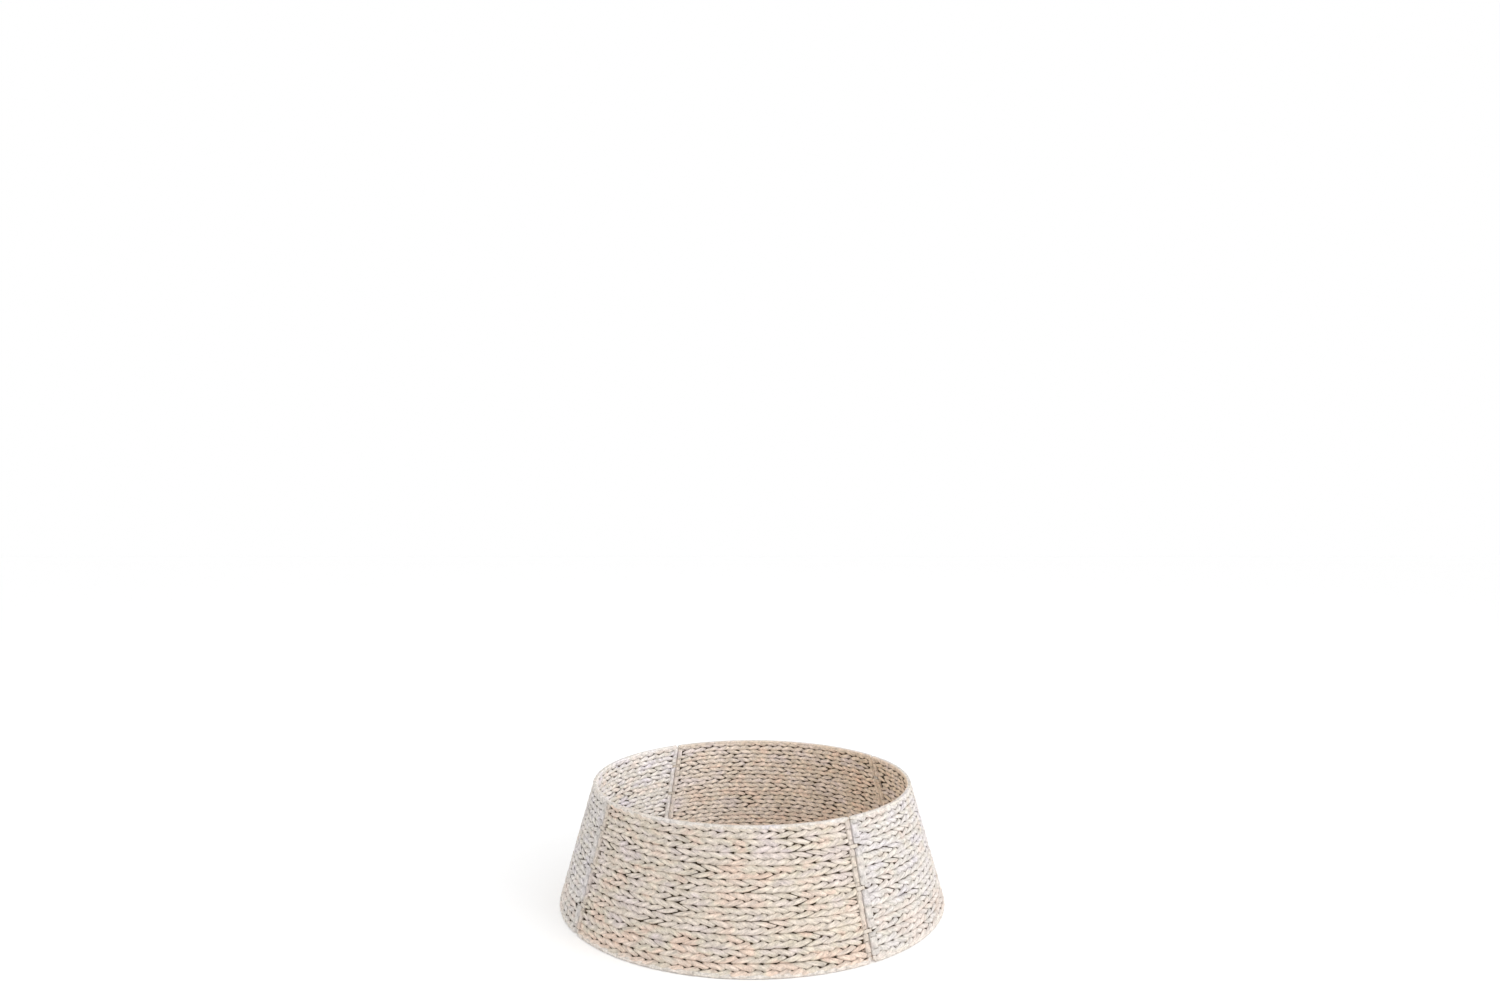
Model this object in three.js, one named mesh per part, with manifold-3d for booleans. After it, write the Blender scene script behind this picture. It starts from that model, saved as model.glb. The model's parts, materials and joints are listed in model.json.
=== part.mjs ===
// Woven tree collar: four basketwork panels around a cone, hinged at three seams and clipped at the
// fourth. Each panel is a loop of steel wire with three uprights, faced inside and out with plaited
// weave, and bound along its four edges. Millimetres, +Z up, the front panel faces -Y, and the origin
// is on the floor at the middle of the ring.
import * as THREE from 'three';
import Module from 'manifold-3d';

const wasm = await Module();
wasm.setup();

// ---- driving dimensions (mm and degrees) ----
const BOTTOM_DIAMETER = 660;    // over the weave, at the floor
const TOP_DIAMETER = 547;       // over the weave, at the top
const HEIGHT = 199;
const WALL = 8;                 // a panel's thickness, over both faces of the weave
const PANELS = 4;
const FIRST_SEAM = 32.6;        // where the front right seam is, from the front round to the right
const SEAM_GAP = 2;             // clear gap between the ends of two panels
const WIRE = 3;                 // the loop's wire
const UPRIGHT = 2.4;            // the three uprights' wire
const UPRIGHTS = 3;
const BINDING = 8;              // height of the top and bottom bindings
const SIDE_BINDING = 9;         // width of the side bindings
const CORNER = 8;               // radius of a panel's corners
const BINDING_EDGE = 2.5;       // rounding of the bindings' long edges
const LINK_HEIGHT = 5;          // of a hinge link or a clip, along its wire
const LINK_LEVELS = [0.21, 0.5, 0.79];  // where the links sit, as shares of the height
const EYE_WALL = 1.2;           // steel around a wire in a link's eye
const NECK = 4.4;               // width of a link between its eyes
const NOTCH_DEPTH = 3.6;        // how far a link's notch reaches past the end wire
const FIT = 0.4;                // clearance around a wire
const TOUCH = 0.3;              // gap between pieces that touch
const ARC_STEPS = 16;           // facets around a panel
const END_STEPS = 5;            // facets around a panel's round end
const WIRE_SIDES = 8;
const EYE_STEPS = 8;            // facets around an eye

// ---- sizes that follow ----
const LEAN = Math.atan2((BOTTOM_DIAMETER - TOP_DIAMETER) / 2, HEIGHT);
const HALF_WALL = WALL / 2;
const END_WIRE = (WALL + SEAM_GAP) / 2;            // from a seam's plane to the end wire's middle
const CAVITY = WIRE / 2 + FIT;                     // half the hollow that the wires lie in
const EYE = WIRE / 2 + FIT;
const EYE_OUTER = EYE + EYE_WALL;
const CUP = (WIRE / 2 + FIT) / Math.sin(Math.PI / 4);   // lets a wire leave it at 45 degrees
const NOTCH_HEIGHT = LINK_HEIGHT + 2;
const WEAVE_LOW = BINDING + TOUCH;                 // the weave lies between the bindings
const WEAVE_HIGH = HEIGHT - BINDING - TOUCH;
const SIDE_REACH = SIDE_BINDING - HALF_WALL;       // from the end wire to a side binding's edge
const PANEL_ANGLE = 2 * Math.PI / PANELS;
const QUARTER = [0, 30, 60, 90].map(THREE.MathUtils.degToRad);   // stations round a corner

// ---- finishes ----
const matte = (color, roughness, metalness = 0) =>
  new THREE.MeshStandardMaterial({ color, roughness, metalness });
const weaveFinish = () => matte('#d9cfc2', 0.85);
const bindingFinish = () => matte('#e2dacf', 0.8);
const wireFinish = () => matte('#8f8b84', 0.5, 0.7);
const linkFinish = () => matte('#cfccc6', 0.45, 0.6);

// ---- places on the wall ----
// Radius of the middle of the wall at height z.
const middleRadius = (z) =>
  THREE.MathUtils.lerp(BOTTOM_DIAMETER, TOP_DIAMETER, z / HEIGHT) / 2 - HALF_WALL / Math.cos(LEAN);

// A point at a radius, an angle from the front round to the right, and a height.
const polar = (radius, angle, z) =>
  new THREE.Vector3(radius * Math.sin(angle), -radius * Math.cos(angle), z);

// The level direction that runs round the ring at an angle.
const along = (angle) => new THREE.Vector3(Math.cos(angle), Math.sin(angle), 0);

// The angles where a line `inset` inside each end wire crosses the middle of the wall at height z.
function endAngles(panel, z, inset) {
  const shift = Math.asin((END_WIRE + inset) / middleRadius(z));
  return [panel.start + shift, panel.end - shift];
}

// The angles of a panel's facets at height z: fixed ones inside, and the two ends.
function facetAngles(panel, z, inset) {
  const [first, last] = endAngles(panel, z, inset);
  const angles = [first];
  for (let i = 1; i < ARC_STEPS; i += 1) {
    angles.push(THREE.MathUtils.lerp(panel.start, panel.end, i / ARC_STEPS));
  }
  return [...angles, last];
}

// ---- solids ----
// A level closed outline: the wall's middle line, `half` thick to each side, with round ends about
// points `inset` inside the end wires.
function outline(panel, z, half, inset = 0) {
  const radius = middleRadius(z);
  const across = half / Math.cos(LEAN);
  const angles = facetAngles(panel, z, inset);
  const first = angles[0];
  const last = angles[angles.length - 1];
  const ring = angles.map((angle) => polar(radius + across, angle, z));
  for (let i = 1; i < END_STEPS; i += 1) {
    const turn = Math.PI * i / END_STEPS;
    ring.push(polar(radius + across * Math.cos(turn), last, z)
      .addScaledVector(along(last), half * Math.sin(turn)));
  }
  ring.push(...angles.reverse().map((angle) => polar(radius - across, angle, z)));
  for (let i = 1; i < END_STEPS; i += 1) {
    const turn = Math.PI * i / END_STEPS;
    ring.push(polar(radius - across * Math.cos(turn), first, z)
      .addScaledVector(along(first), -half * Math.sin(turn)));
  }
  return ring;
}

// A closed solid through level outlines, from the lowest to the highest.
function loft(rings) {
  const count = rings[0].length;
  const positions = rings.flat().flatMap((point) => point.toArray());
  const index = [];
  for (let level = 0; level + 1 < rings.length; level += 1) {
    for (let i = 0; i < count; i += 1) {
      const next = (i + 1) % count;
      const low = level * count;
      const high = low + count;
      index.push(low + i, low + next, high + next, low + i, high + next, high + i);
    }
  }
  const lid = (ring, base, flip) => {
    const flat = ring.map((point) => new THREE.Vector2(point.x, point.y));
    for (const [a, b, c] of THREE.ShapeUtils.triangulateShape(flat, [])) {
      index.push(base + a, base + (flip ? c : b), base + (flip ? b : c));
    }
  };
  lid(rings[0], 0, true);
  lid(rings[rings.length - 1], (rings.length - 1) * count, false);
  return solid(positions, index);
}

const solid = (positions, index) => new wasm.Manifold(new wasm.Mesh({
  numProp: 3,
  vertProperties: new Float32Array(positions),
  triVerts: new Uint32Array(index),
}));

function toGeometry(body) {
  const mesh = body.getMesh();
  const geometry = new THREE.BufferGeometry();
  geometry.setAttribute('position', new THREE.BufferAttribute(mesh.vertProperties, 3));
  geometry.setIndex(new THREE.BufferAttribute(mesh.triVerts, 1));
  geometry.computeVertexNormals();
  return geometry;
}

// ---- a seam's own frame ----
// At a share of the height on a seam: X runs round the ring, from a panel to the next one to the
// right, Y points into the ring and Z runs up along the wires.
function seamFrame(seam, share) {
  const up = polar(-Math.sin(LEAN), seam, Math.cos(LEAN));
  const round = along(seam);
  const inward = new THREE.Vector3().crossVectors(up, round);
  const z = HEIGHT * share;
  const radius = Math.sqrt(middleRadius(z) ** 2 - END_WIRE ** 2);
  return new THREE.Matrix4().makeBasis(round, inward, up).setPosition(polar(radius, seam, z));
}

// A box that clears a panel's end at a link. `side` is 1 where the panel is to the right of the seam.
function notch(seam, share, side) {
  const reach = END_WIRE + NOTCH_DEPTH;
  const x = side * reach / 2;
  const corners = new THREE.BoxGeometry(reach, 2 * WALL, NOTCH_HEIGHT).translate(x, 0, 0);
  corners.applyMatrix4(seamFrame(seam, share));
  const points = [];
  const place = corners.getAttribute('position');
  for (let i = 0; i < place.count; i += 1) {
    points.push([place.getX(i), place.getY(i), place.getZ(i)]);
  }
  return wasm.Manifold.hull(points);
}

// ---- a panel's pieces ----
// One face of the weave: a curved sheet between two distances from the wall's middle, `near` and
// `far` with outward positive, from one side binding to the other.
function weaveFace(panel, near, far) {
  const ring = (z) => {
    const at = (distance, angle) => polar(middleRadius(z) + distance / Math.cos(LEAN), angle, z);
    const angles = facetAngles(panel, z, SIDE_REACH + TOUCH);
    return [
      ...angles.map((angle) => at(far, angle)),
      ...angles.reverse().map((angle) => at(near, angle)),
    ];
  };
  return toGeometry(loft([ring(WEAVE_LOW), ring(WEAVE_HIGH)]));
}

// A side binding: a strip folded round an end wire, notched at each link. `end` is 0 at the panel's
// left end and 1 at its right end, as seen from outside the ring.
function sideBinding(panel, end) {
  const side = end ? 1 : -1;
  const fold = (z, half) => {
    const radius = middleRadius(z);
    const across = half / Math.cos(LEAN);
    const edge = endAngles(panel, z, SIDE_REACH)[end];
    const tip = endAngles(panel, z, 0)[end];
    const points = [polar(radius + across, edge, z)];
    for (let i = 0; i <= END_STEPS; i += 1) {
      const turn = Math.PI * i / END_STEPS;
      points.push(polar(radius + across * Math.cos(turn), tip, z)
        .addScaledVector(along(tip), side * half * Math.sin(turn)));
    }
    points.push(polar(radius - across, edge, z));
    return points;
  };
  const ring = (z) => {
    const points = [...fold(z, HALF_WALL), ...fold(z, CAVITY).reverse()];
    return end ? points : points.reverse();
  };
  let body = loft([ring(WEAVE_LOW), ring(WEAVE_HIGH)]);
  for (const share of LINK_LEVELS) {
    body = body.subtract(notch(end ? panel.end : panel.start, share, -side));
  }
  return toGeometry(body);
}

// A long binding is a channel over the loop's top or bottom run, with rounded corners and long edges.
// `depth` is measured from the panel's edge into the wall.
function binding(panel, atTop) {
  const level = (depth) => (atTop ? HEIGHT - depth : depth);
  const arc = (radius, rise) => Math.sqrt(Math.max(radius ** 2 - rise ** 2, 0));
  const outer = (depth) => {
    const half = depth < BINDING_EDGE
      ? HALF_WALL - BINDING_EDGE + arc(BINDING_EDGE, BINDING_EDGE - depth) : HALF_WALL;
    const rise = Math.max(CORNER - depth, 0);
    return outline(panel, level(depth), half, CORNER - HALF_WALL - arc(CORNER, rise) + half);
  };
  const bend = CORNER - HALF_WALL + CAVITY + FIT / 2;
  const inner = (depth) => {
    const rise = Math.max(CORNER - depth, 0);
    return outline(panel, level(depth), CAVITY, CORNER - HALF_WALL - arc(bend, rise) + CAVITY);
  };
  const skin = [BINDING, CORNER / 2, BINDING_EDGE / 2, 0].map(outer);
  const hollow = [BINDING + 1, ...QUARTER.slice(1).map((turn) => CORNER - bend * Math.sin(turn))]
    .map(inner);
  if (!atTop) {
    skin.reverse();
    hollow.reverse();
  }
  return toGeometry(loft(skin).subtract(loft(hollow)));
}

// A path through stations, followed from one to the next at exactly those stations.
class Route extends THREE.Curve {
  constructor(stations) {
    super();
    this.stations = stations;
  }

  getPoint(t) {
    const place = t * (this.stations.length - 1);
    const i = Math.min(Math.floor(place + 1e-6), this.stations.length - 2);
    return this.stations[i].clone().lerp(this.stations[i + 1], place - i);
  }

  getTangent(t) {
    const i = Math.round(t * (this.stations.length - 1));
    const before = this.stations[Math.max(i - 1, 0)];
    const after = this.stations[Math.min(i + 1, this.stations.length - 1)];
    return after.clone().sub(before).normalize();
  }

  getPointAt(t) { return this.getPoint(t); }

  getTangentAt(t) { return this.getTangent(t); }

  getSpacedPoints(divisions) { return this.getPoints(divisions); }
}

function rod(stations, diameter) {
  const section = new THREE.Shape();
  for (let i = 0; i < WIRE_SIDES; i += 1) {
    const turn = 2 * Math.PI * i / WIRE_SIDES;
    const [x, y] = [diameter / 2 * Math.cos(turn), diameter / 2 * Math.sin(turn)];
    if (i === 0) section.moveTo(x, y);
    else section.lineTo(x, y);
  }
  section.closePath();
  return new THREE.ExtrudeGeometry(section, {
    steps: stations.length - 1, extrudePath: new Route(stations), curveSegments: 1,
  });
}

// The loop of wire round the panel's edge, half a wall inside it. Its ends butt together in the
// middle of the bottom run.
function wireLoop(panel) {
  const bend = CORNER - HALF_WALL;
  const low = HALF_WALL;
  const high = HEIGHT - HALF_WALL;
  const place = (side, inset, z) => {
    const radius = middleRadius(z);
    return polar(radius, endAngles(panel, z, inset)[side], z);
  };
  const corner = (side, z, turns) => turns.map((turn) => place(side, bend - bend * Math.cos(turn),
    z + bend * Math.sin(turn)));
  const run = (z, from, to) => facetAngles(panel, z, bend).slice(from, to)
    .map((angle) => polar(middleRadius(z), angle, z));
  const reversed = [...QUARTER].reverse();
  const middle = (panel.start + panel.end) / 2;
  const butt = TOUCH / 2 / middleRadius(low);
  return rod([
    polar(middleRadius(low), middle + butt, low),
    ...run(low, ARC_STEPS / 2 + 1, ARC_STEPS),
    ...corner(1, low + bend, reversed.map((turn) => -turn)),
    ...corner(1, high - bend, QUARTER),
    ...run(high, 1, ARC_STEPS).reverse(),
    ...corner(0, high - bend, reversed),
    ...corner(0, low + bend, QUARTER.map((turn) => -turn)),
    ...run(low, 1, ARC_STEPS / 2),
    polar(middleRadius(low), middle - butt, low),
  ], WIRE);
}

// One upright, between the loop's bottom and top runs.
function upright(panel, number) {
  const angle = THREE.MathUtils.lerp(panel.start, panel.end, number / (UPRIGHTS + 1));
  const clear = HALF_WALL + (WIRE / 2 + TOUCH) * Math.cos(LEAN);
  return rod([clear, HEIGHT - clear].map((z) => polar(middleRadius(z), angle, z)), UPRIGHT);
}

// ---- what joins the panels ----
function circleHole(x, radius) {
  return new THREE.Path().absarc(x, 0, radius, 0, 2 * Math.PI, true);
}

// A link: a flat steel figure with an eye around each of the two end wires and a neck between them.
function linkShape() {
  const turn = Math.PI - Math.asin(NECK / 2 / EYE_OUTER);
  const shape = new THREE.Shape();
  shape.absarc(END_WIRE, 0, EYE_OUTER, -turn, turn, false);
  shape.absarc(-END_WIRE, 0, EYE_OUTER, Math.PI - turn, Math.PI + turn, false);
  shape.closePath();
  shape.holes.push(circleHole(END_WIRE, EYE), circleHole(-END_WIRE, EYE));
  return shape;
}

// A clip: an eye around the back panel's end wire and an open half-round cup for the right panel's.
function clipShape() {
  const rim = CUP + EYE_WALL;
  const shape = new THREE.Shape();
  shape.absarc(END_WIRE, 0, EYE_OUTER, -Math.PI / 2, Math.PI / 2, false);
  shape.lineTo(-END_WIRE, rim);
  shape.absarc(-END_WIRE, 0, CUP, Math.PI / 2, -Math.PI / 2, true);
  shape.lineTo(-END_WIRE, -rim);
  shape.closePath();
  shape.holes.push(circleHole(END_WIRE, EYE));
  return shape;
}

function joiner(shape, seam, share) {
  const geometry = new THREE.ExtrudeGeometry(shape, {
    depth: LINK_HEIGHT, bevelEnabled: false, curveSegments: EYE_STEPS,
  });
  geometry.translate(0, 0, -LINK_HEIGHT / 2);
  return geometry.applyMatrix4(seamFrame(seam, share));
}

// ---- the collar ----
const collar = new THREE.Group();

function add(name, geometry, material) {
  const mesh = new THREE.Mesh(geometry, material);
  mesh.name = name;
  collar.add(mesh);
}

const firstSeam = THREE.MathUtils.degToRad(FIRST_SEAM);
const panels = ['front', 'right', 'back', 'left'].map((name, i) => ({
  name,
  start: firstSeam + (i - 1) * PANEL_ANGLE,
  end: firstSeam + i * PANEL_ANGLE,
}));

for (const panel of panels) {
  add(`${panel.name}_outer_weave`, weaveFace(panel, CAVITY, HALF_WALL), weaveFinish());
  add(`${panel.name}_inner_weave`, weaveFace(panel, -HALF_WALL, -CAVITY), weaveFinish());
  ['left', 'right'].forEach((side, end) => {
    add(`${panel.name}_side_binding_${side}`, sideBinding(panel, end), bindingFinish());
  });
  add(`${panel.name}_top_binding`, binding(panel, true), bindingFinish());
  add(`${panel.name}_bottom_binding`, binding(panel, false), bindingFinish());
  add(`${panel.name}_wire_loop`, wireLoop(panel), wireFinish());
  for (let number = 1; number <= UPRIGHTS; number += 1) {
    add(`${panel.name}_upright_${number}`, upright(panel, number), wireFinish());
  }
}

const [front, right, back, left] = panels;
const hinges = [['front_right', front.end], ['front_left', front.start], ['back_left', back.end]];
const levels = ['low', 'middle', 'high'];
for (const [name, seam] of hinges) {
  levels.forEach((level, i) => {
    add(`${name}_link_${level}`, joiner(linkShape(), seam, LINK_LEVELS[i]), linkFinish());
  });
}
levels.forEach((level, i) => {
  add(`back_right_clip_${level}`, joiner(clipShape(), right.end, LINK_LEVELS[i]), linkFinish());
});

export default collar;
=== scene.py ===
# %% [markdown]
# # A woven tree collar
#
# The collar is a tapered ring of four curved panels that stands round the foot of a Christmas tree.
# Each panel is a loop of steel wire with three uprights that run up through rows of flat three-strand
# plait, and it is bound along its four edges with leaf. Links join the panels at three seams, and
# clips close the fourth.
#
# The wires, links and clips are already right in the fixed frame, so they only need finishes. The weave
# and the bindings are plain solids there, and this script makes the real surfaces: every strand of
# every plait as a tube of its own, and each binding as a wrapped strip.

# %% Load the frame and read its sizes
import json

import bpy
import numpy as np
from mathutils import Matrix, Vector


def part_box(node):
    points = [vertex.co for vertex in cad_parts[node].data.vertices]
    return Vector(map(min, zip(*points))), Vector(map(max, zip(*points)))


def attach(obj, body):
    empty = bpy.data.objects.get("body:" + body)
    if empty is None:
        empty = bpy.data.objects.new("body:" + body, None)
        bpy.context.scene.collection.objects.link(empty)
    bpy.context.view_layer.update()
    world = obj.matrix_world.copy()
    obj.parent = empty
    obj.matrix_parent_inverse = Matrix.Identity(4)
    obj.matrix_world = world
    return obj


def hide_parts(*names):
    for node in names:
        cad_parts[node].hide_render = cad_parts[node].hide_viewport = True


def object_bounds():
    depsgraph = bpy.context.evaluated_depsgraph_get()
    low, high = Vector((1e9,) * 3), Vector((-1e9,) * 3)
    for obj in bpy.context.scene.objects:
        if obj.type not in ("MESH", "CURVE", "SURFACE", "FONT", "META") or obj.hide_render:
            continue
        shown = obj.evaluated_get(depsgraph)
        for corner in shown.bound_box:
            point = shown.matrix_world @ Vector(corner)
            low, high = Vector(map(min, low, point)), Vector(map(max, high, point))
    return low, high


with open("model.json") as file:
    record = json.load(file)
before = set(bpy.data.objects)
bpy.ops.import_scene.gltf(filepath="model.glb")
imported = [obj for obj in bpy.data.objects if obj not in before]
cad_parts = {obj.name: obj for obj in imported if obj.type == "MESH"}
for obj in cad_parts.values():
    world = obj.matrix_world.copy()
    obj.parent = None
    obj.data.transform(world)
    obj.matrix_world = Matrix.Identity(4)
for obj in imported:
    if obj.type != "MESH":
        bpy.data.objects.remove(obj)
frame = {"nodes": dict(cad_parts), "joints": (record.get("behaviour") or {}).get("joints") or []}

cad_low, cad_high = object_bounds()
HEIGHT = cad_high.z
swing = next(j for j in frame["joints"] if j["name"] == "right_panel_swing")
hinge = np.array(swing["pos_m"])
lean_axis = np.abs(np.array(swing["axis"]))
LEAN = np.arctan2(np.hypot(*lean_axis[:2]), lean_axis[2])
HINGE_RADIUS = np.hypot(*hinge[:2])
SLANT = HEIGHT / np.cos(LEAN)
print(f"height {HEIGHT:.3f} m, lean {np.degrees(LEAN):.2f} degrees, slant {SLANT:.3f} m")

# %% [markdown]
# ## Places on the wall
#
# Everything on a panel is placed by three numbers: the angle round the ring, the distance up the slope
# of the wall, and the distance out from the wall's middle surface. One function turns them into a
# point. A panel's ends are not at fixed angles: they run parallel to the seam, so that the gap between
# two panels stays even from floor to rim, and a second function gives those angles.

# %% The cone and its four panels
END_WIRE = 0.005        # from a seam's plane to the middle of a panel's end wire
seam_angle = np.arctan2(hinge[0], -hinge[1]) - np.arcsin(END_WIRE / HINGE_RADIUS)
PANELS = {
    name: (seam_angle + (i - 1) * np.pi / 2, seam_angle + i * np.pi / 2)
    for i, name in enumerate(["front", "right", "back", "left"])
}


def middle_radius(slope):
    """The middle of the wall is a cone: its radius falls by sin(lean) for each unit of slope."""
    return HINGE_RADIUS + (SLANT / 2 - slope) * np.sin(LEAN)


def wall(angle, slope, out=0.0):
    """Point on the wall: radius = middle radius + out cos(lean), height = slope cos(lean) + out
    sin(lean). The angle is counted from the front (-Y) round to the right."""
    radius = middle_radius(slope) + out * np.cos(LEAN)
    height = slope * np.cos(LEAN) + out * np.sin(LEAN)
    return np.stack(np.broadcast_arrays(radius * np.sin(angle), -radius * np.cos(angle), height), -1)


def wall_normal(angle):
    """Outward from the wall: cos(lean) along the radius and sin(lean) up."""
    level = np.cos(LEAN) * np.ones_like(angle)
    return np.stack([level * np.sin(angle), -level * np.cos(angle), np.sin(LEAN) + 0 * angle], -1)


def end_angle(panel, end, inset, slope):
    """Angle of a line parallel to a panel's left (0) or right (1) end wire and `inset` inside it:
    the seam's angle plus or minus arcsin((end wire + inset) / radius)."""
    shift = np.arcsin((END_WIRE + inset) / middle_radius(slope))
    return PANELS[panel][end] + (-shift if end else shift)


for name, (start, stop) in PANELS.items():
    print(f"{name} panel from {np.degrees(start):.1f} to {np.degrees(stop):.1f} degrees")

# %% [markdown]
# ## Tubes from arrays
#
# Strands and bindings are all tubes: a ring of points carried along a path. Blender could sweep them
# as curves with a bevel, but then the section can't flatten, roll or swell along the way. Here numpy
# works out every ring of every tube at once, and one function turns the array into a closed mesh with
# a UV map that runs along and around each tube, so that a fibre pattern can follow it.


# %% One mesh from many tubes
def unit(vectors):
    """Each vector divided by its own length."""
    return vectors / np.linalg.norm(vectors, axis=-1, keepdims=True)


def tubes(name, rings, along, **values):
    """Closed mesh of tubes. Four-sided faces join each ring to the next, and a fan of triangles to the
    mean of a tube's last ring closes each end. `rings` is tube x station x ring point x 3, counted so
    that the faces look out; `along` is tube x station, in metres; each of `values` is one number per
    ring point."""
    count, stations, sides = rings.shape[:3]
    grid = np.arange(count * stations * sides).reshape(count, stations, sides)
    turned = np.roll(grid, -1, axis=2)
    quads = np.stack([grid[:, :-1], grid[:, 1:], turned[:, 1:], turned[:, :-1]], -1).reshape(-1, 4)
    middles = rings[:, [0, -1]].mean(axis=2).reshape(-1, 3)
    hubs = grid.size + np.arange(2 * count).reshape(count, 2, 1) + np.zeros(sides, int)
    first = np.stack([hubs[:, 0], grid[:, 0], turned[:, 0]], -1)
    last = np.stack([hubs[:, 1], turned[:, -1], grid[:, -1]], -1)
    fans = np.concatenate([first, last]).reshape(-1, 3)

    round_it = np.arange(sides + 1) / sides
    u = np.broadcast_to(along[..., None], (count, stations, sides + 1))
    v = np.broadcast_to(round_it, u.shape)
    uv = np.stack([u, v], -1)
    quad_uv = np.stack([uv[:, :-1, :-1], uv[:, 1:, :-1], uv[:, 1:, 1:], uv[:, :-1, 1:]], 3)
    loops = np.concatenate([quads.ravel(), fans.ravel()])
    loop_uv = np.concatenate([quad_uv.reshape(-1, 2), np.zeros((fans.size, 2))])
    starts = np.concatenate([4 * np.arange(len(quads)), quads.size + 3 * np.arange(len(fans))])

    mesh = bpy.data.meshes.new(name)
    points = np.concatenate([rings.reshape(-1, 3), middles])
    mesh.vertices.add(len(points))
    mesh.vertices.foreach_set("co", points.ravel())
    mesh.loops.add(len(loops))
    mesh.loops.foreach_set("vertex_index", loops.astype(np.int32))
    mesh.polygons.add(len(starts))
    mesh.polygons.foreach_set("loop_start", starts.astype(np.int32))
    mesh.polygons.foreach_set("use_smooth", np.ones(len(starts), bool))
    mesh.update(calc_edges=True)
    mesh.uv_layers.new(name="along").data.foreach_set("uv", loop_uv.ravel())
    for label, value in values.items():
        ends = value[:, [0, -1]].mean(axis=2).ravel()
        layer = mesh.attributes.new(label, "FLOAT", "POINT")
        layer.data.foreach_set("value", np.concatenate([value.ravel(), ends]))
    piece = bpy.data.objects.new(name, mesh)
    bpy.context.scene.collection.objects.link(piece)
    return piece


def sway(rng, place, lengths, size):
    """Smooth wander between about -size and size: size / 2 x the sum of three sines of the place, with
    the given wavelengths in metres and random phases, one set for each first index of `place`."""
    phase = rng.uniform(0, 2 * np.pi, (3, place.shape[0]) + (1,) * (place.ndim - 1))
    waves = [np.sin(2 * np.pi * place / length + p) for length, p in zip(lengths, phase)]
    return size * sum(waves) / 2


# %% [markdown]
# ## The weave
#
# The plaits are water hyacinth: three flat bundles of leaf, each passed over the middle in turn. Seen
# from either face, a strand comes in from an edge over the top, reaches the middle and dives under, so
# the face shows a row of arrowheads. Eleven plaits lie tight one above another, and the frame's
# uprights run up inside them.
#
# A plait is two waves. A strand zigzags from edge to edge once in a period, and in and out of the wall
# twice in the same period; the three strands are a third of a period apart. The section is a flat oval
# that is as wide, along the row, as an arrowhead is long, so that the strands lie side by side with no
# gap, and it turns with the path, so that a strand folds round the edge of its plait. Each strand is
# pinched a little where it folds and where it dives, which leaves the small dark holes. Heights, widths
# and pitch wander, because leaf does. A displaced plane would be quicker, but nothing would pass under
# anything else, and there would be nothing to see from the side.

# %% Sizes of the plaits
ROWS = 11
SHOWS = 0.0010          # how much of the top and bottom bindings shows past the plaits
STITCH = 0.022          # from one arrowhead to the next
PERIOD = 3 * STITCH     # in which a strand goes to one edge of its plait, to the other and back
STRAND = 0.0125         # half the width of a strand, along the row
LEAF = 0.0016           # half its thickness
DIVE = 0.0023           # how far a strand swings in and out
HASTE = 0.13            # how much of its swing a strand saves for where it is hidden
FOLD = 0.97             # how sharp the zigzag's corners are; 1 would be a crease
PRESS = 0.0007          # how far neighbouring plaits are pressed into each other
PINCH = 0.44            # share of its width that a strand loses at folds and dives
PINCH_SHORT = 3         # a higher power keeps the pinch shorter
DIVES_MORE = 0.45       # how much stronger it is at a dive than between, and weaker at a fold
RIDGE = 0.13            # depth of the four ridges on a bundle of leaf, as a share of its thickness
RIDGE_TURN = 0.08       # length in which they turn once round it
UNEVEN = 0.0004         # how far a plait's edge lies from where it should
DRIFT = 0.0006          # how far the plaits at mid height wave up and down together
DRIFTS = (              # each wave's turn per radian round the ring, per metre up the wall, and per seed
    (9, 31, 1.0),
    (17, -47, 2.1),
)
# The core is painted shade: a dark sheet of bare leaf along the middle of each plait, so that the holes
# between strands look dark.
SHADE_SHEET = 0.0005           # half the thickness of the dark leaf left inside each plait
SHADE_SHEET_DARK = 1.3         # how bare that leaf is; from 1 up it has no paint
TUCK = 0.0030           # where the plaits start, inside the end wire and under the side binding
STATIONS = 22           # for each period of a strand
SIDES = 12              # points round a strand
SWAYS = {               # wavelengths in metres, and size
    "slip": ((0.31, 0.17, 0.093), 0.05),        # of a plait along its row, in periods
    "reach": ((0.13, 0.052, 0.031), 0.0004),    # of a strand from its plait's middle, in metres
    "dive": ((0.09, 0.043, 0.027), 0.0003),     # of its way in and out, in metres
    "plump": ((0.11, 0.047, 0.029), 0.08),      # of its width, as a share
    "tone": ((0.2, 0.08, 0.041), 0.35),         # of its tint
}
# buried carries painted shade as well as bare leaf: it grows into the hollows, on a strand's flanks and
# at its pinches.
BURIED = (0.3, 0.5, 0.5)    # how buried a point is: anywhere, plus on a flank, plus on a pinched flank
FACE = 0.001                # depth in which the outer face's tint turns to the inner face's
# Besides wear, these set painted light and shade: lower on the brightly lit right panel's outer face,
# higher on the shaded insides of the right and back than on the lit inside of the left.
BARE_AND_SHADE = {                    # how bare the buried leaf is left on each panel's outer and inner face
    "front": (1.0, 1.4), "right": (0.72, 2.0), "back": (1.0, 2.0), "left": (0.95, 1.2),
}
# The back's inner face is painted shade at its right end, fading towards its lit left end.
BACK_FADE = 0.6             # how much of its inner tint the back loses from the right panel to the left
ROW_APART, STRAND_APART = 0.7, 0.21     # shifts along the leaf, so that no two strands share fibres
print(f"{ROWS} plaits, each {1000 * (SLANT - 2 * SHOWS) / ROWS:.1f} mm tall")


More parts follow.
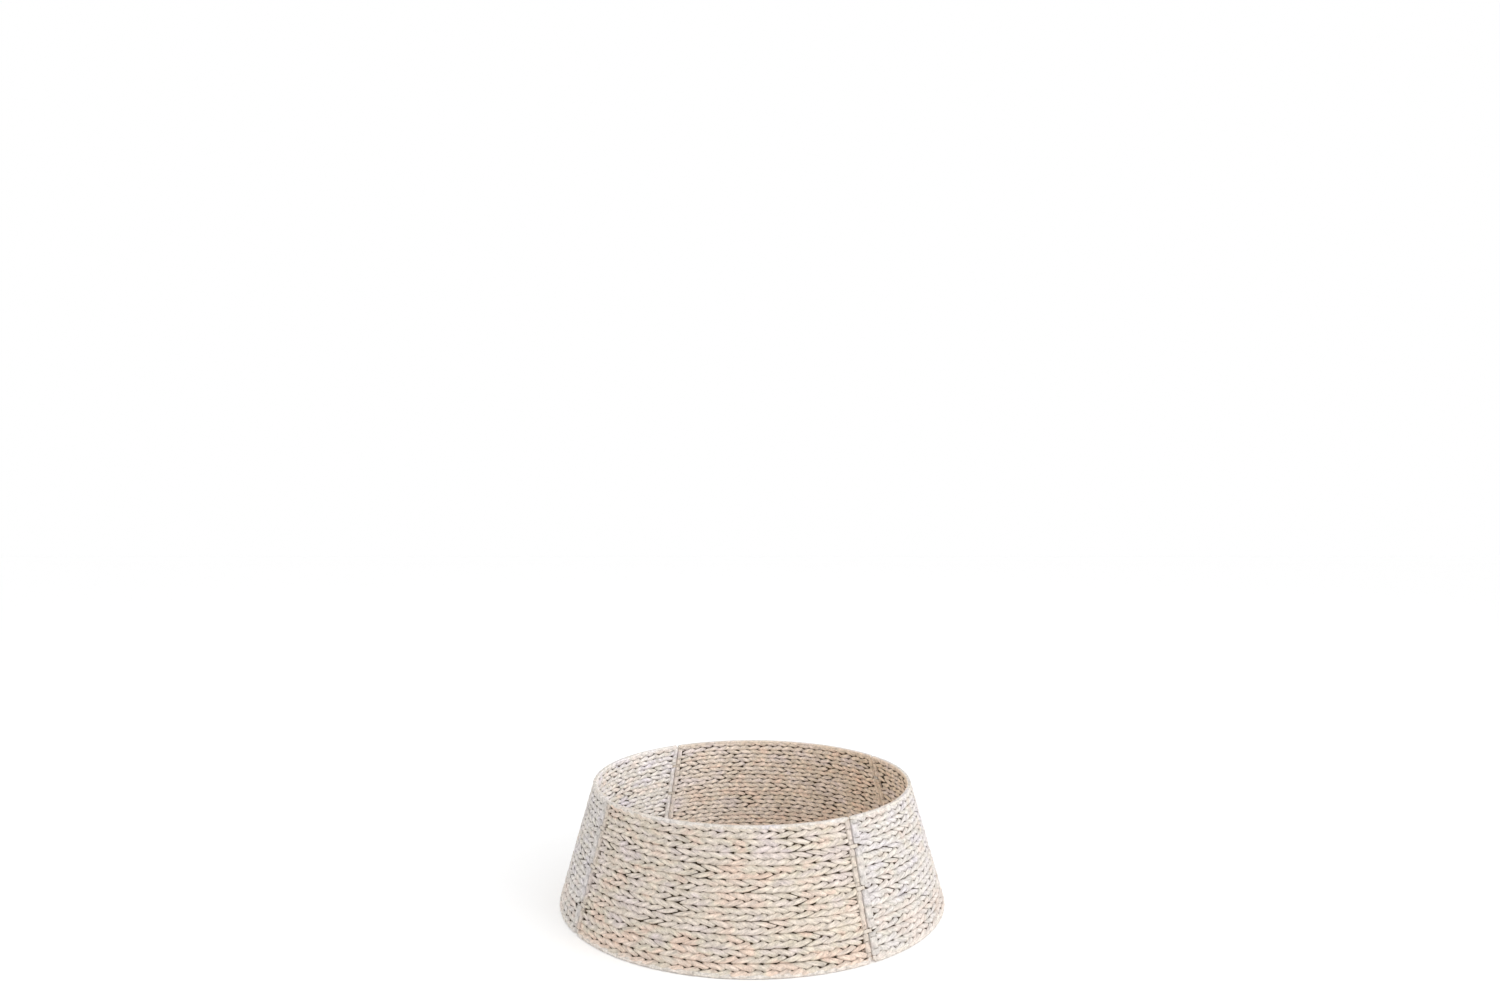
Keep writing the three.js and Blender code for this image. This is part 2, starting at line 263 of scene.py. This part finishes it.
# %% Every strand of every plait
def inner_light_and_shade_share(panel, angle):
    """How far a panel's inner face has its own tint, painted shade on the front, right and back and
    painted light on the left: 1, and on the back 1 - fade x (angle - start) / (stop - start), so that the
    back's painted shade thins towards its lit left end."""
    start, stop = PANELS[panel]
    return 1 - (BACK_FADE if panel == "back" else 0) * (angle - start) / (stop - start)


def plaits(panel, seed):
    """A panel's weave. turn = 2 pi (distance / period + strand / 3 + start + slip), less haste x
    cos(2 turn). A strand runs at across = reach x rounded zigzag of turn from its plait's middle, and
    at out = -dive x sin(2 turn) from the wall's. Its section is an oval, wide along the row and thin
    square to the path, with pinch = (half + half cos(4 turn)) ^ 3 x (1 + 0.45 cos(2 turn))."""
    rng = np.random.default_rng(seed)
    edges = np.linspace(SHOWS, SLANT - SHOWS, ROWS + 1)
    edges[1:-1] += rng.normal(0, UNEVEN, ROWS - 1)
    row = np.repeat(np.arange(ROWS), 3)
    middle = ((edges[1:] + edges[:-1]) / 2)[row][:, None]
    tall = np.diff(edges)[row][:, None]
    strand = np.tile(np.arange(3), ROWS)[:, None]

    left, right = (end_angle(panel, end, TUCK, middle) for end in (0, 1))
    radius = middle_radius(middle)
    length = (right - left) * radius
    stations = int(length.max() / PERIOD * STATIONS) + 1
    distance = np.linspace(0, 1, stations) * length
    angle = left + distance / radius

    # The path: along the row, across it, and in and out of the wall.
    slip = sway(rng, distance[::3], *SWAYS["slip"])[row]
    start = rng.uniform(0, 1, (ROWS, 1))[row]
    turn = 2 * np.pi * (distance / PERIOD + strand / 3 + start + slip)
    turn = turn - HASTE * np.cos(2 * turn)
    reach = tall / 2 - LEAF + PRESS + sway(rng, distance, *SWAYS["reach"])
    across = reach * np.arcsin(FOLD * np.sin(turn)) / np.arcsin(FOLD)
    out = -DIVE * np.sin(2 * turn) + sway(rng, distance, *SWAYS["dive"])
    held = np.sin(np.pi * np.clip((middle - SHOWS) / (SLANT - 2 * SHOWS), 0, 1))
    drift = DRIFT * held * sum(np.sin(angle * pace + middle * rise + shift * seed)
                               for pace, rise, shift in DRIFTS)

    # The section: a ridged oval, turned to face across the path.
    climb, swing = np.gradient(across, axis=1), np.gradient(out, axis=1)
    travel = np.hypot(climb, swing)
    round_it = 2 * np.pi * np.arange(SIDES) / SIDES
    plump = 1 + sway(rng, distance, *SWAYS["plump"])
    pinched = (0.5 + 0.5 * np.cos(4 * turn)) ** PINCH_SHORT * (1 + DIVES_MORE * np.cos(2 * turn))
    half = STRAND * plump * (1 - PINCH * pinched)
    twist = 2 * np.pi * distance[..., None] / RIDGE_TURN + rng.uniform(0, 6, (len(row), 1, 1))
    thick = LEAF * (1 + RIDGE * np.cos(4 * round_it + twist)) * np.sin(round_it)
    sideways = (half / radius)[..., None] * np.cos(round_it)
    outward = out[..., None] - thick * (climb / travel)[..., None]
    rings = wall(np.clip(angle[..., None] + sideways, left[..., None], right[..., None]),
                 (middle + across + drift)[..., None] + thick * (swing / travel)[..., None], outward)

    # What the finish needs to know of each point.
    # flank and buried paint the shade of each strand: its flanks, pinches and the parts deep in the wall
    # are darkened and left bare, as shade falls there.
    flank = np.abs(np.cos(round_it)) ** 3
    anywhere, on_flank, on_pinch = BURIED
    buried = ((1 - np.abs(outward) / (DIVE + LEAF))
              * (anywhere + on_flank * flank + on_pinch * flank * pinched[..., None]))
    tone = rng.uniform(0, 1, (len(row), 1, 1)) + sway(rng, distance, *SWAYS["tone"])[..., None]
    # The inner face takes its panel's inner tint: painted shade on the front, right and back, faded along
    # the back, and painted light on the left.
    inside = np.clip(0.5 - outward / FACE, 0, 1) * inner_light_and_shade_share(panel, angle)[..., None]
    # How bare and how darkly shaded the buried leaf is painted on each face: wear, and per panel painted
    # light and shade.
    outer_bare_and_shade, inner_bare_and_shade = BARE_AND_SHADE[panel]
    buried = buried * (outer_bare_and_shade * (1 - inside) + inner_bare_and_shade * inside)
    along = distance + ROW_APART * row[:, None] + STRAND_APART * strand

    # The dark sheet of painted shade in the middle of each plait, fully bare, behind the holes between
    # strands.
    shade_sheet = wall(angle[::3, :, None], middle[::3, :, None] + tall[::3, :, None] / 2 * np.cos(round_it),
                SHADE_SHEET * np.sin(round_it))
    full = np.ones(shade_sheet.shape[:3])
    return tubes(f"{panel}_plaits", np.concatenate([rings, shade_sheet]),
                 np.concatenate([along, distance[::3]]),
                 buried=np.concatenate([buried, SHADE_SHEET_DARK * full]),
                 tone=np.concatenate([np.broadcast_to(tone, buried.shape), 0.5 * full]),
                 inside=np.concatenate([inside, full]))


weaves = {}
for number, panel in enumerate(PANELS):
    piece = plaits(panel, 10 * number + 4)
    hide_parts(f"{panel}_outer_weave", f"{panel}_inner_weave")
    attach(piece, f"{panel}_panel")
    weaves[panel] = piece
    print(piece.name, len(piece.data.polygons), "faces")

# %% [markdown]
# ## The bindings
#
# Strips of flat leaf are wound round the edge of each panel, over the wire and the ends of the plaits.
# A plain rounded bar would look like plastic there. The bar's section is carried along the edge, round
# the corners, and swells in slow steps where one turn of leaf laps the last. A side binding is in four
# stretches, because the links come out of the panel between them. The two side bindings that meet the
# front panel are wider, and every side binding has the finish of the plaits.

# %% Sizes of the bindings
BIND = 0.0033           # half the thickness of a top or bottom binding
SIDE_BIND = 0.0042      # and of a side binding, which lies over the ends of the plaits
BIND_DEEP = 0.0060      # how far a top or bottom binding reaches into the panel
SIDE_DEEP = 0.0085      # a side binding
WIDE_DEEP = 0.0130      # and the two side bindings that meet the front panel
ROUND_OUT, ROUND_IN, ROUND_THICK = 0.60, 0.35, 0.60     # powers of its outline: 1 an oval, 0 a box
BIND_BARE = 0.05        # how worn the paint is on the top and bottom bindings
SIDE_BARE = 0.20        # and on the side bindings
TOP_CORNER = 0.005      # radius of a panel's upper corners
FOOT_CORNER = 0.009     # and of its lower ones, which leave a notch at each seam
WALL_HALF = 0.004       # half the thickness of the wall, so also from an end wire's middle to the edge
LAP = 0.017             # length of edge that one turn of leaf covers
LAP_RISE = 0.0005       # height of the step at each lap
LAP_CLIMB = 0.7         # power by which a lap climbs to it; 1 would be an even slope
LAP_SLANT = 0.006       # how far a lap leans along the edge from one face to the other
# Just past each lap's step the leaf is painted darker and barer: painted shade under the edge of the turn
# above.
LAP_SHADE = 0.6          # how much barer the leaf is just past a step
LAP_SHADE_SHORT = 9      # a higher power keeps the bare line narrower
BIND_TONE = 0.9         # middle of their tint, which is near the plain one
END_ROUND = 0.0012      # length in which a binding closes at its ends
END_BLUNT = 0.15        # share of that length by which it stops short of a point
GAP = 0.0053            # left open for each link and clip
OVERLAP = 0.0005        # of the side bindings into the corners
BEND_STATIONS, RUN_STATIONS, SIDE_STATIONS = 14, 150, 26    # on a corner, a run, a stretch of side
BIND_SWAYS = {          # wavelengths in metres, and size
    "lap": ((0.19, 0.083, 0.037), 0.2),         # of where a lap starts, in laps
    "dent": ((0.05, 0.023, 0.011), 0.0002),     # of the surface, in metres
    "tone": ((0.3, 0.11, 0.041), 0.4),          # of the tint
}
print(f"laps every {1000 * LAP:.0f} mm")


# %% A wrapped bar
def profile(deep, bulk, sides=20):
    """Section of a binding, from the panel's edge inwards: a superellipse, cos ^ power by sin ^ power,
    whose outer half is rounder than its inner half. Returns the reach in from the edge and the
    thickness each way."""
    turn = 2 * np.pi * np.arange(sides) / sides
    c, s = np.cos(turn), np.sin(turn)
    power = np.where(c > 0, ROUND_OUT, ROUND_IN)
    reach = deep / 2 * (1 - np.sign(c) * np.abs(c) ** power)
    return reach, bulk * np.sign(s) * np.abs(s) ** ROUND_THICK


def bind(panel, edge, lines, inward, angles, deep, bulk, bare, seed):
    """Wrapped bar along each line. A ring is line + reach x inward + thickness x normal. The section
    grows by rise = step x (part of the lap) ^ climb, and drops back where the next lap starts."""
    rng = np.random.default_rng(seed)
    reach, thick = profile(deep, bulk)
    step = np.linalg.norm(np.diff(lines, axis=1, prepend=lines[:, :1]), axis=-1)
    along = np.cumsum(step, axis=1)
    slant = LAP_SLANT * thick / bulk
    place = (along[..., None] + slant) / LAP + sway(rng, along, *BIND_SWAYS["lap"])[..., None]
    rise = LAP_RISE * (place % 1) ** LAP_CLIMB + sway(rng, along, *BIND_SWAYS["dent"])[..., None]
    ends = np.minimum(along, along[:, -1:] - along)[..., None]
    close = np.sqrt(np.clip(ends / END_ROUND, END_BLUNT, 1))
    centre = deep / 2
    into = centre + (reach - centre) * close * (1 + rise / centre)
    side = thick * close * (1 + rise / bulk)
    rings = (lines[:, :, None] + inward[:, :, None] * into[..., None]
             + wall_normal(angles)[:, :, None] * side[..., None])
    rings[..., 2] = np.clip(rings[..., 2], 0, HEIGHT)
    # The binding's own wear, plus painted shade just past each lap's step.
    buried = bare + LAP_SHADE * (1 - place % 1) ** LAP_SHADE_SHORT
    every = np.zeros_like(buried)
    tone = BIND_TONE + sway(rng, along, *BIND_SWAYS["tone"])[..., None] + every
    # The binding's inner face takes the same painted light and shade as its panel's plaits.
    inside = np.clip(-thick / (2 * FACE), 0, 1) * inner_light_and_shade_share(panel, angles)[..., None] + every
    return tubes(f"{panel}_{edge}_leaf", rings, along, buried=buried, tone=tone, inside=inside)


# %% The paths round a panel's edges
def long_edge(panel, top):
    """A panel's top or bottom edge: a quarter circle from the left end, the run, and a quarter circle
    to the right end. On a quarter circle the inset is corner x (1 - cos turn) less half the wall, and
    the rise is corner x (1 - sin turn). Returns points, directions into the panel, and angles."""
    turn = np.linspace(0, np.pi / 2, BEND_STATIONS)
    corner = TOP_CORNER if top else FOOT_CORNER
    inset = corner * (1 - np.cos(turn)) - WALL_HALF
    rise = corner * (1 - np.sin(turn))
    slope = SLANT - rise if top else rise
    left = end_angle(panel, 0, inset, slope)
    right = end_angle(panel, 1, inset, slope)[::-1]
    run = np.linspace(left[-1], right[0], RUN_STATIONS)[1:-1]
    angles = np.concatenate([left, run, right])
    level = np.full(len(run), slope[-1])
    slopes = np.concatenate([slope, level, slope[::-1]])
    line = wall(angles, slopes)
    tangent = unit(np.gradient(line, axis=0))
    inward = np.cross(tangent, wall_normal(angles)) * (1 if top else -1)
    return line[None], unit(inward)[None], angles[None]


def side_edge(panel, end):
    """A panel's end, in four stretches that leave its three links or clips free, which are at the same
    heights at every seam. Each stretch is a line parallel to the end wire, from the slope just past one
    link to the slope just short of the next."""
    links = [np.mean([corner.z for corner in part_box(f"front_right_link_{level}")]) / np.cos(LEAN)
             for level in ("low", "middle", "high")]
    starts = np.array([FOOT_CORNER - OVERLAP] + [link + GAP / 2 for link in links])
    stops = np.array([link - GAP / 2 for link in links] + [SLANT - TOP_CORNER + OVERLAP])
    slopes = starts[:, None] + (stops - starts)[:, None] * np.linspace(0, 1, SIDE_STATIONS)
    angles = end_angle(panel, end, -WALL_HALF, slopes)
    line = wall(angles, slopes)
    around = np.stack([np.cos(angles), np.sin(angles), 0 * angles], -1) * (-1 if end else 1)
    if end:
        line, around, angles = line[:, ::-1], around[:, ::-1], angles[:, ::-1]
    return line, around, angles


# %% Every binding
bindings = []
for number, panel in enumerate(PANELS):
    left_deep = WIDE_DEEP if panel == "right" else SIDE_DEEP
    right_deep = WIDE_DEEP if panel == "left" else SIDE_DEEP
    edges = {
        "top_binding": (long_edge(panel, True), BIND_DEEP, BIND, BIND_BARE),
        "bottom_binding": (long_edge(panel, False), BIND_DEEP, BIND, BIND_BARE),
        "side_binding_left": (side_edge(panel, 0), left_deep, SIDE_BIND, SIDE_BARE),
        "side_binding_right": (side_edge(panel, 1), right_deep, SIDE_BIND, SIDE_BARE),
    }
    for order, (edge, (path, deep, bulk, bare)) in enumerate(edges.items()):
        piece = bind(panel, edge, *path, deep, bulk, bare, 100 + 10 * number + order)
        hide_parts(f"{panel}_{edge}")
        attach(piece, f"{panel}_panel")
        bindings.append((panel, piece))
print(len(bindings), "bindings")

# %% [markdown]
# ## Finishes
#
# The leaf is dried, plaited and then brushed with thin white paint. The paint sits on what the brush
# reaches, so the high parts are chalky, and the brown of the dry leaf shows where a strand dives and
# along its fibres. In the hollows and on the strands' flanks that brown, darkened further, is also
# painted shade. Colours are given as sRGB hex and turned to linear once.


# %% Colour and node helpers
def linear(hex_code):
    """sRGB hex to linear RGBA, by the standard curve: value / 12.92 where it is dark, and
    ((value + 0.055) / 1.055) ^ 2.4 above that."""
    value = np.array([int(hex_code[i:i + 2], 16) for i in (1, 3, 5)]) / 255
    value = np.where(value <= 0.04045, value / 12.92, ((value + 0.055) / 1.055) ** 2.4)
    return (*value.tolist(), 1.0)


def add(tree, kind, inputs=None, **settings):
    """Adds one node. `settings` are its properties. `inputs` are its sockets, by name or number, each
    with a value or with the output that feeds it."""
    made = tree.nodes.new(kind)
    for name, value in settings.items():
        setattr(made, name, value)
    for name, value in (inputs or {}).items():
        if isinstance(value, bpy.types.NodeSocket):
            tree.links.new(value, made.inputs[name])
        else:
            made.inputs[name].default_value = value
    return made


def blank(name):
    """A material with only its shader and output."""
    material = bpy.data.materials.new(name)
    material.use_nodes = True
    tree = material.node_tree
    tree.nodes.clear()
    shader = add(tree, "ShaderNodeBsdfPrincipled")
    add(tree, "ShaderNodeOutputMaterial", {"Surface": shader.outputs[0]})
    return material, tree, shader


# %% [markdown]
# ### Whitewashed water hyacinth
#
# The real leaf is dried, plaited, and brushed with thin white paint once the panel is woven. That gives
# the eye three things: streaks along the leaf, tints that change from bundle to bundle, and brown leaf
# showing in every hollow. In the hollows that brown is also painted shade, and a painted shade darkens
# the hollows and the strands' flanks further. Its fibres are 0.2 mm wide, too fine to show, so a noise
# on the strand's own UV map draws them as coarse as they need to be: streaks 11 mm long and 6 mm wide,
# with five finer octaves inside them. They shade the paint and lift the surface. Patches of warm and
# cool some 45 mm wide and 22 mm tall come from a noise on Object coordinates, and they turn warmer at
# the foot, where the paint wears. Each strand has a tone of its own. An image of leaf would be
# quicker, but it would repeat.

# %% Patterns and tints of the leaf
FIBRE_SCALE = (90.0, 8.0, 1.0)      # per metre along the strand, and per turn round it
PATCH_SCALE = (22.0, 22.0, 46.0)    # per metre: 45 mm wide and 22 mm tall
CHALK_SCALE = 420.0                 # per metre: clots of paint 2.4 mm across
FOOT_HEIGHT = 0.075                 # up to which the foot is warmer
FOOT_WARMTH = 0.15                  # how far it moves the patches towards the warm tints
PATCHES = (0.36, 0.46, 0.55, 0.64)  # of the patch noise, where each tint after the plain one stands

# Tints of the paint: plain, lilac, grey, straw, peach.
CREAM = ("#D5C9BE", "#D0C4C3", "#D1C7BC", "#CFC6B4", "#DBC3B2")
PALE = ("#D5CFCB", "#CFC9CD", "#D3CDC9", "#CFCABF", "#D8C9BE")
WHITE = ("#F3EEEC", "#EAE4EC", "#EEE9E4", "#E9E4D8", "#F3E4D8")
TAN = ("#EDD8C3", "#E0CEC4", "#E3CEB8", "#DFCAAE", "#EDCAB0")
EDGE = ("#D9D2CC", "#D3CCD2", "#D6CFC8", "#D3CDBF", "#DACCBE")
# Lit and shaded copies of one whitewash. Each panel's outer tint is matched to its lit or shaded look:
# the cooler PALE is used on the brightly lit right and the shaded left. The inner tints are painted light
# and shade: TAN where the inside is in shade, WHITE on the left's lit inside. The bare leaf's dark brown
# is also darkened as painted shade in the holes.
FINISHES = {    # name, outer and inner tints, bare leaf, and how far the fibres break the paint
    "front": ("cream", CREAM, TAN, "#5F4E3A", 1.1),
    "right": ("pale", PALE, TAN, "#675745", 1.0),
    "back": ("aged", WHITE, TAN, "#5E4A34", 1.2),
    "left": ("grey", PALE, WHITE, "#605041", 1.1),
}
print(len(FINISHES), "kinds of leaf")


# %% The leaf's finish
def leaf_finish(name, outer, inner, bare, wear):
    """Whitewashed leaf. `outer` and `inner` are the paint's tints on the wall's two faces: the plain
    one, then those of the patches. The bare leaf shows where (fibre - 0.5) x wear + buried is high: worn
    paint along the fibres, and painted shade in the hollows. The colour is then multiplied by a shade
    that falls with the grain, and by a painted shade that falls with how deep the point is buried."""
    material, tree, shader = blank(name)
    uv = add(tree, "ShaderNodeUVMap", uv_map="along").outputs[0]
    place = add(tree, "ShaderNodeTexCoord").outputs["Object"]
    tone, buried, inside = (add(tree, "ShaderNodeAttribute", attribute_name=label).outputs["Fac"]
                            for label in ("tone", "buried", "inside"))

    # The three patterns.
    stretch = add(tree, "ShaderNodeMapping", {"Vector": uv, "Scale": FIBRE_SCALE})
    fibre = add(tree, "ShaderNodeTexNoise",
                {"Vector": stretch.outputs[0], "Scale": 1.0, "Detail": 5.0, "Roughness": 0.68}).outputs[0]
    level = add(tree, "ShaderNodeMapping", {"Vector": place, "Scale": PATCH_SCALE})
    patch = add(tree, "ShaderNodeTexNoise", {"Vector": level.outputs[0], "Scale": 1.0, "Detail": 2.0})
    chalk = add(tree, "ShaderNodeTexNoise", {"Vector": place, "Scale": CHALK_SCALE, "Detail": 2.0})

    # The paint: patches, warmer at the foot, part of the way to a plain tint.
    height = add(tree, "ShaderNodeSeparateXYZ", {0: place})
    foot = add(tree, "ShaderNodeMapRange",
               {"Value": height.outputs["Z"], "From Min": 0.0, "From Max": FOOT_HEIGHT,
                "To Min": FOOT_WARMTH, "To Max": 0.0})
    warmer = add(tree, "ShaderNodeMath", {0: patch.outputs[0], 1: foot.outputs[0]}, operation="ADD")
    toned = add(tree, "ShaderNodeMapRange",
                {"Value": tone, "From Min": -0.2, "From Max": 1.2, "To Min": 0.15, "To Max": 0.80})
    faces = []
    for plain, *tints in (outer, inner):
        patches = add(tree, "ShaderNodeValToRGB", {0: warmer.outputs[0]})
        stops = patches.color_ramp.elements
        for spare in range(len(tints) - 2):
            stops.new(0.5)
        for stop, position, tint in zip(stops, PATCHES, tints):
            stop.position, stop.color = position, linear(tint)
        faces.append(add(tree, "ShaderNodeMix",
                         {0: toned.outputs[0], 6: patches.outputs[0], 7: linear(plain)},
                         data_type="RGBA").outputs[2])
    painted = add(tree, "ShaderNodeMix", {0: inside, 6: faces[0], 7: faces[1]}, data_type="RGBA")

    # Where the paint is worn through, and where the hollows' painted shade shows as bare brown leaf.
    worn = add(tree, "ShaderNodeMath", {0: fibre, 1: 0.5}, operation="SUBTRACT")
    worn = add(tree, "ShaderNodeMath", {0: worn.outputs[0], 1: wear, 2: buried},
               operation="MULTIPLY_ADD")
    shows = add(tree, "ShaderNodeMapRange",
                {"Value": worn.outputs[0], "From Min": 0.42, "From Max": 0.85},
                interpolation_type="SMOOTHSTEP")
    colour = add(tree, "ShaderNodeMix",
                 {0: shows.outputs[0], 6: painted.outputs[2], 7: linear(bare)}, data_type="RGBA")

    # The shade of the grain, and a painted shade of the hollows and flanks that deepens with buried.
    grain = add(tree, "ShaderNodeMath", {0: chalk.outputs[0], 1: 0.3, 2: fibre},
                operation="MULTIPLY_ADD")
    grain = add(tree, "ShaderNodeMapRange",
                {"Value": grain.outputs[0], "From Min": 0.48, "From Max": 0.82,
                 "To Min": 0.62, "To Max": 1.20})
    depth = add(tree, "ShaderNodeMapRange", {"Value": buried, "To Min": 1.06, "To Max": 0.56})
    shade = add(tree, "ShaderNodeMath", {0: grain.outputs[0], 1: depth.outputs[0]},
                operation="MULTIPLY")
    shade = add(tree, "ShaderNodeCombineColor", {channel: shade.outputs[0] for channel in range(3)})
    shaded = add(tree, "ShaderNodeMix", {0: 1.0, 6: colour.outputs[2], 7: shade.outputs[0]},
                 data_type="RGBA", blend_type="MULTIPLY")
    tree.links.new(shaded.outputs[2], shader.inputs["Base Color"])

    rough = add(tree, "ShaderNodeMapRange", {"Value": fibre, "To Min": 0.70, "To Max": 0.92})
    tree.links.new(rough.outputs[0], shader.inputs["Roughness"])
    bump = add(tree, "ShaderNodeBump", {"Height": fibre, "Strength": 0.7, "Distance": 0.0012})
    tree.links.new(bump.outputs[0], shader.inputs["Normal"])
    shader.inputs["IOR"].default_value = 1.45
    shader.inputs["Specular IOR Level"].default_value = 0.3
    return material


# %% Leaf on every plait and binding
for panel, (shade, outer, *rest) in FINISHES.items():
    plait_leaf = leaf_finish(f"whitewashed_hyacinth_{shade}", outer, *rest)
    edge_leaf = leaf_finish(f"whitewashed_edge_leaf_{shade}", EDGE, *rest)
    weaves[panel].data.materials.append(plait_leaf)
    for owner, piece in bindings:
        if owner == panel:
            piece.data.materials.append(plait_leaf if "side" in piece.name else edge_leaf)
print(2 * len(FINISHES), "leaf finishes")

# %% [markdown]
# ### Wire, links and clips
#
# The frame is drawn mild steel wire, which has dulled to a brownish grey. A die leaves lines on it that
# are hundredths of a millimetre apart, far too fine to show, so a noise of about 1 mm breaks its gloss
# instead. The links and clips are pressed steel dipped in thin off-white paint, so that they are lost in
# the weave; the paint gathers in runs about 3 mm across.

# %% Metal finishes
def drawn_wire():
    """Drawn steel: a grey metal whose roughness is broken by fine noise."""
    material, tree, shader = blank("drawn_mild_steel_wire")
    place = add(tree, "ShaderNodeTexCoord").outputs["Object"]
    lines = add(tree, "ShaderNodeTexNoise", {"Vector": place, "Scale": 900.0, "Detail": 3.0})
    rough = add(tree, "ShaderNodeMapRange", {"Value": lines.outputs[0], "To Min": 0.35, "To Max": 0.6})
    tree.links.new(rough.outputs[0], shader.inputs["Roughness"])
    shader.inputs["Base Color"].default_value = linear("#6E675D")
    shader.inputs["Metallic"].default_value = 1.0
    return material


def dipped_paint():
    """Thin off-white paint on steel, a little uneven."""
    material, tree, shader = blank("dipped_off_white_paint")
    place = add(tree, "ShaderNodeTexCoord").outputs["Object"]
    runs = add(tree, "ShaderNodeTexNoise", {"Vector": place, "Scale": 350.0, "Detail": 2.0}).outputs[0]
    colour = add(tree, "ShaderNodeMix", {0: runs, 6: linear("#CFC6BC"), 7: linear("#C2B7AA")},
                 data_type="RGBA")
    tree.links.new(colour.outputs[2], shader.inputs["Base Color"])
    bump = add(tree, "ShaderNodeBump", {"Height": runs, "Strength": 0.3, "Distance": 0.0003})
    tree.links.new(bump.outputs[0], shader.inputs["Normal"])
    shader.inputs["Roughness"].default_value = 0.45
    return material


# %% Metal on the frame, the links and the clips
wire, paint = drawn_wire(), dipped_paint()
for name, node in frame["nodes"].items():
    if "_wire_loop" in name or "_upright_" in name:
        node.data.materials.clear()
        node.data.materials.append(wire)
    elif "_link_" in name or "_clip_" in name:
        node.data.materials.clear()
        node.data.materials.append(paint)
print("finishes on wires, links and clips")

# %% [markdown]
# ## The studio
#
# A white floor under an even white sky, with a large soft light on the right and a weaker one in front.
# The right side is the bright one, the left side is in soft shade, and the inside of the back is darkest.
# The camera is low and almost level, with the collar near the bottom of the frame. One strong lamp would
# be simpler, but its shadow would lie across the floor and fill the weave's hollows with black.

# %% Floor and sky
FLOOR = 12.0            # half its side
FLOOR_DROP = 0.0004     # below the panels' feet, so that the two never share a plane
floor_mesh = bpy.data.meshes.new("floor")
corners = FLOOR * np.array([[-1, -1, 0], [1, -1, 0], [1, 1, 0], [-1, 1, 0]])
floor_mesh.from_pydata((corners + [0, 0, -FLOOR_DROP]).tolist(), [], [(0, 1, 2, 3)])
floor = bpy.data.objects.new("floor", floor_mesh)
bpy.context.scene.collection.objects.link(floor)
pale, _, floor_shader = blank("pale_floor")
floor_shader.inputs["Base Color"].default_value = linear("#FFFFFF")
floor_shader.inputs["Roughness"].default_value = 0.7
floor_mesh.materials.append(pale)

world = bpy.data.worlds.new("studio")
world.use_nodes = True
sky = world.node_tree.nodes["Background"]
sky.inputs["Color"].default_value = linear("#FFFFFF")
sky.inputs["Strength"].default_value = 1.0
bpy.context.scene.world = world
print(f"floor {2 * FLOOR:.0f} m across")


# %% Lights
COLLAR_MIDDLE = (0, 0, 0.1)


def soft_light(name, place, size, watts, colour):
    """A square area light, `size` metres wide, that looks at the middle of the collar."""
    lamp = bpy.data.lights.new(name, "AREA")
    lamp.size, lamp.energy, lamp.color = size, watts, linear(colour)[:3]
    holder = bpy.data.objects.new(name, lamp)
    holder.location = place
    aim = np.array(COLLAR_MIDDLE) - place
    holder.rotation_mode = "QUATERNION"
    holder.rotation_quaternion = Vector(aim).to_track_quat("-Z", "Y")
    bpy.context.scene.collection.objects.link(holder)


soft_light("key", (2.7, -1.5, 1.5), 2.6, 46, "#FFFEFC")
soft_light("front_fill", (-0.4, -2.9, 1.9), 1.6, 10, "#FFFFFF")
print("a key light and a front fill")

# %% Camera
CAMERA = (-0.0035, -1.747, 0.666)   # 1.75 m from the ring's axis and 0.67 m up
TILT = np.radians(90.48)            # half a degree above level
camera = bpy.data.objects.new("camera", bpy.data.cameras.new("camera"))
camera.data.lens, camera.data.sensor_width = 24.0, 36.0
camera.location = CAMERA
camera.rotation_euler = (TILT, 0, 0)
bpy.context.scene.collection.objects.link(camera)
bpy.context.scene.camera = camera
bpy.context.scene.view_settings.view_transform = "Standard"
print("camera at", CAMERA)
